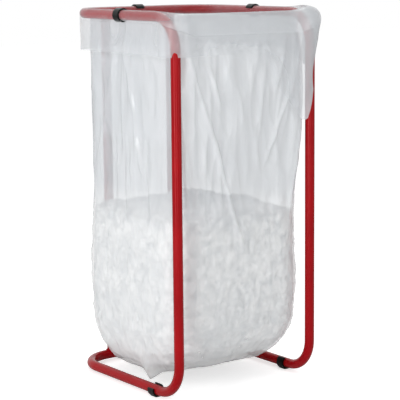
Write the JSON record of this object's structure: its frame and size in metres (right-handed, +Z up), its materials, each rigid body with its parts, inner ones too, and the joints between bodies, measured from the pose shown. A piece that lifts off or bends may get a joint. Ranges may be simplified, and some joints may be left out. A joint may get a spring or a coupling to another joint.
{
  "type": "waste sack stand",
  "caption": "Free-standing bent tube stand that holds a clear waste sack open by its rim with push-fit clips, on clip feet, with the sack part filled",
  "frame": {"origin": "centre of the footprint, on the floor under the feet", "axes": "+Z up, -Y towards the open front between the two front uprights, +X to the right seen from the front"},
  "size_m": [0.4584, 0.5036, 0.971],
  "materials": {
    "red_powder_coat": "satin red powder coat on steel tube",
    "black_clip_plastic": "black moulded plastic, slightly glossy",
    "clear_film": "thin clear polyethylene film with soft folds",
    "crumpled_film": "crumpled white film waste"
  },
  "bodies": {
    "root": {"frame_loop": "red_powder_coat", "rear_upright_left": "red_powder_coat", "rear_upright_right": "red_powder_coat", "bag_clip_left": "black_clip_plastic", "bag_clip_back": "black_clip_plastic", "bag_clip_right": "black_clip_plastic", "foot_front_left": "black_clip_plastic", "foot_front_right": "black_clip_plastic", "foot_rear_left": "black_clip_plastic", "foot_rear_right": "black_clip_plastic", "sack": "clear_film", "film_waste": "crumpled_film"}
  },
  "joints": []
}
